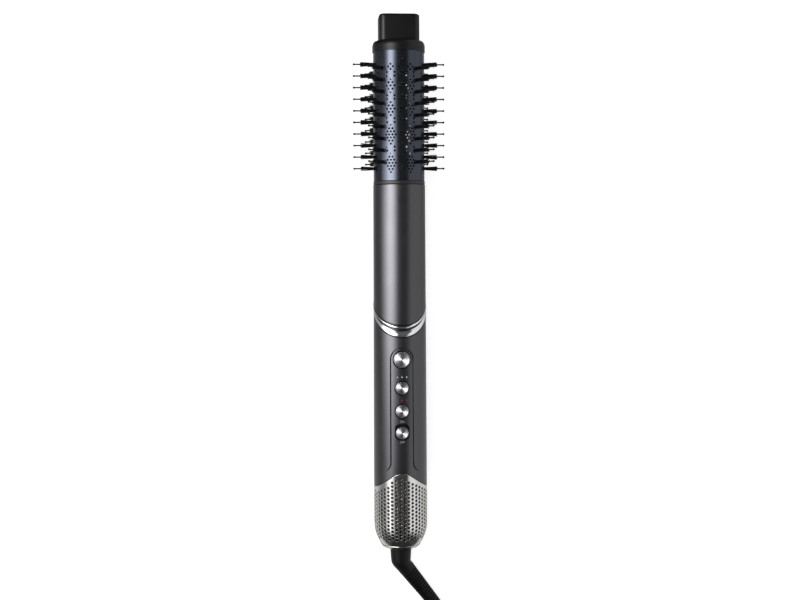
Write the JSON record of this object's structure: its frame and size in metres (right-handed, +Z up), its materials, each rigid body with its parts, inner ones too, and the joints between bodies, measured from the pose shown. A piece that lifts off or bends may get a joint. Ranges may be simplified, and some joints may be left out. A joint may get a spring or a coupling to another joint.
{
  "type": "hot air styling brush",
  "caption": "Corded hot-air styler with a tapered grip, perforated air inlet, sliding and push controls and a removable round bristle brush on a vented barrel.",
  "frame": {"origin": "bottom centre of the styler as it lies on its lowest bristle pin and on the shoulder of the inlet grille, measured without the cord, boot and plug", "axes": "+Y along the table towards the cool tip, +Z up, +X to the right of someone who faces the controls with the tip away; the controls face up"},
  "size_m": [0.1047, 0.5842, 0.0731],
  "materials": {
    "grip_plastic": "satin metallic anthracite",
    "inner_plastic": "moulded, hidden inside",
    "ring_chrome": "polished",
    "grille_steel": "polished perforated sheet",
    "filter_mesh": "fine woven screen",
    "motor_metal": "satin",
    "shaft_steel": "ground",
    "shield_metal": "rolled sheet",
    "mica_board": "pressed mica",
    "heating_ribbon": "drawn ribbon",
    "cutoff_white": "dull",
    "bezel_black": "gloss",
    "button_chrome": "spun, fine turned lines",
    "lamp_white": "clear light pipe, lit",
    "lamp_red": "clear light pipe, lit",
    "board_green": "lacquered laminate",
    "lock_plastic": "satin",
    "barrel_metal": "blue-grey metallic lacquer",
    "bristle_nylon": "satin nylon",
    "tip_plastic": "satin",
    "boot_rubber": "satin, ribbed",
    "cord_rubber": "matt sheath",
    "tie_black": "matt band",
    "pin_brass": "nickel-washed"
  },
  "bodies": {
    "root": {"handle_shell": "grip_plastic", "control_panel": "grip_plastic", "trim_ring": "ring_chrome", "body_sleeve": "inner_plastic", "upper_tube": "grip_plastic", "inlet_grille": "grille_steel", "intake_filter": "filter_mesh", "motor_can": "motor_metal", "motor_mount": "inner_plastic", "heater_shield": "shield_metal", "heater_frame": "mica_board", "heater_coil": "heating_ribbon", "thermal_cutoff": "cutoff_white", "button_bezels": "bezel_black", "speed_lamps": "lamp_white", "heat_lamps": "lamp_red", "slide_frame": "bezel_black", "slide_contacts": "inner_plastic", "tact_switches": "inner_plastic", "control_board": "board_green", "board_screws": "shaft_steel", "outlet_spigot": "inner_plastic"},
    "lock_ring": {"lock_ring": "lock_plastic"},
    "brush": {"brush_barrel": "barrel_metal", "bristle_strips": "bristle_nylon", "brush_socket": "lock_plastic", "tip_collar": "tip_plastic", "cool_tip": "tip_plastic", "tip_screw": "shaft_steel"},
    "fan": {"fan_impeller": "inner_plastic", "fan_shaft": "shaft_steel"},
    "top_button": {"top_button": "button_chrome"},
    "speed_button": {"speed_button": "button_chrome"},
    "heat_button": {"heat_button": "button_chrome"},
    "power_switch": {"power_switch": "button_chrome"},
    "cord": {"cord_boot": "boot_rubber", "swivel_clip": "shaft_steel", "strain_relief": "boot_rubber", "cord_lead": "cord_rubber", "cord_coil": "cord_rubber", "cord_ties": "tie_black", "cord_tail": "cord_rubber", "plug_body": "cord_rubber", "plug_pins": "pin_brass"}
  },
  "joints": [
    {"name": "lock_ring_turn", "type": "hinge", "parent": "root", "child": "lock_ring", "pos_m": [0, 0.07567, 0.03394], "axis": [0, 0.9986, 0.0537], "range_deg": [0, 20]},
    {"name": "brush_pull_off", "type": "slide", "parent": "lock_ring", "child": "brush", "axis": [0, 0.9986, 0.0537], "range_m": [0, 0.03]},
    {"name": "fan_spin", "type": "hinge", "parent": "root", "child": "fan", "pos_m": [0, -0.15299, 0.02163], "axis": [0, 0.9986, 0.0537], "continuous": true},
    {"name": "cord_swivel", "type": "hinge", "parent": "root", "child": "cord", "pos_m": [0, -0.19993, 0.0191], "axis": [0, 0.9986, 0.0537], "continuous": true},
    {"name": "power_switch_slide", "type": "slide", "parent": "root", "child": "power_switch", "axis": [0, 0.9986, 0.0537], "range_m": [0, 0.0018]},
    {"name": "top_button_press", "type": "slide", "parent": "root", "child": "top_button", "axis": [0, 0.0537, -0.9986], "range_m": [0, 0.0008], "stiffness_N_per_m": 800},
    {"name": "speed_button_press", "type": "slide", "parent": "root", "child": "speed_button", "axis": [0, 0.0537, -0.9986], "range_m": [0, 0.0008], "stiffness_N_per_m": 800},
    {"name": "heat_button_press", "type": "slide", "parent": "root", "child": "heat_button", "axis": [0, 0.0537, -0.9986], "range_m": [0, 0.0008], "stiffness_N_per_m": 800}
  ]
}
